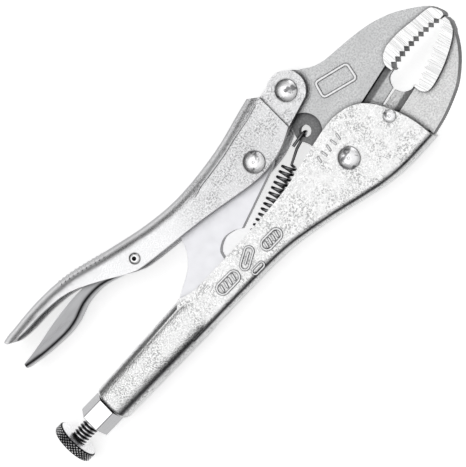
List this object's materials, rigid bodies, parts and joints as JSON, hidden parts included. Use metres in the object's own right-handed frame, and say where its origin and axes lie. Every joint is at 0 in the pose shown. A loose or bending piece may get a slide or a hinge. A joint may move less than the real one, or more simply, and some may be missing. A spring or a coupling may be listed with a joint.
{
  "type": "locking pliers",
  "caption": "Locking pliers: fixed handle with hollow tube and adjusting screw, toothed jaws with wire cutter, toggle link, lever with release lever.",
  "frame": {"origin": "under the middle of the tool's bounding box, on the surface it lies on", "axes": "+X along the adjusting screw towards the jaws, +Y across the tool towards the lever handle, +Z along the rivets, away from the table"},
  "size_m": [0.1818, 0.0544, 0.015],
  "materials": {
    "plated_sheet": "satin nickel plating over a pebbled, tumbled sheet surface",
    "plated_nut": "nickel plated, semi-bright",
    "screw_steel": "rolled thread, semi-bright with dark roots",
    "knurled_steel": "diamond knurl, nickel plated",
    "forged_bright": "forged and plated, ground on the grip band",
    "forged_satin": "blasted satin forging, ground on the grip band",
    "link_steel": "fine satin strip steel",
    "release_sheet": "plated sheet, semi-bright",
    "rivet_steel": "headed and plated, bright",
    "pin_steel": "bright",
    "spring_steel": "oil-tempered spring wire"
  },
  "bodies": {
    "fixed_handle_body": {"fixed_handle": "plated_sheet", "handle_nut": "plated_nut", "fixed_jaw": "forged_bright", "fixed_jaw_pin": "pin_steel", "main_pivot_rivet": "rivet_steel", "tension_spring": "spring_steel"},
    "movable_jaw_body": {"movable_jaw": "forged_satin"},
    "lever_body": {"lever_handle": "plated_sheet", "lever_pivot_rivet": "rivet_steel", "link_rivet": "rivet_steel", "release_lever_pin": "pin_steel"},
    "toggle_link_body": {"toggle_link": "link_steel"},
    "release_lever_body": {"release_lever": "release_sheet"},
    "screw_body": {"adjusting_screw": "screw_steel"},
    "knob_body": {"adjusting_knob": "knurled_steel"}
  },
  "joints": [
    {"name": "jaw_open", "type": "hinge", "parent": "fixed_handle_body", "child": "movable_jaw_body", "pos_m": [0.03883, -0.01286, 0.0075], "axis": [0, 0, 1], "range_deg": [0, 36], "deforming": ["tension_spring"]},
    {"name": "lever_swing", "type": "hinge", "parent": "movable_jaw_body", "child": "lever_body", "pos_m": [0.03963, 0.01584, 0.0075], "axis": [0, 0, 1], "range_deg": [-102, 0]},
    {"name": "link_swing", "type": "hinge", "parent": "lever_body", "child": "toggle_link_body", "pos_m": [0.01683, 0.00744, 0.0075], "axis": [0, 0, 1], "range_deg": [0, 94]},
    {"name": "release_squeeze", "type": "hinge", "parent": "lever_body", "child": "release_lever_body", "pos_m": [-0.03197, 0.01354, 0.0075], "axis": [0, 0, 1], "range_deg": [-8, 0]},
    {"name": "screw_advance", "type": "slide", "parent": "fixed_handle_body", "child": "screw_body", "axis": [1, 0, 0], "range_m": [-0.02, 0]},
    {"name": "knob_turn", "type": "hinge", "parent": "screw_body", "child": "knob_body", "pos_m": [-0.08917, -0.01246, 0.0075], "axis": [1, 0, 0], "range_deg": [-5660, 0]}
  ],
  "couplings": [
    {"joint": "lever_swing", "follows": "jaw_open", "ratio": -2.826},
    {"joint": "link_swing", "follows": "jaw_open", "ratio": 2.604},
    {"joint": "screw_advance", "follows": "knob_turn", "m_per_rad": 0.00020213}
  ]
}
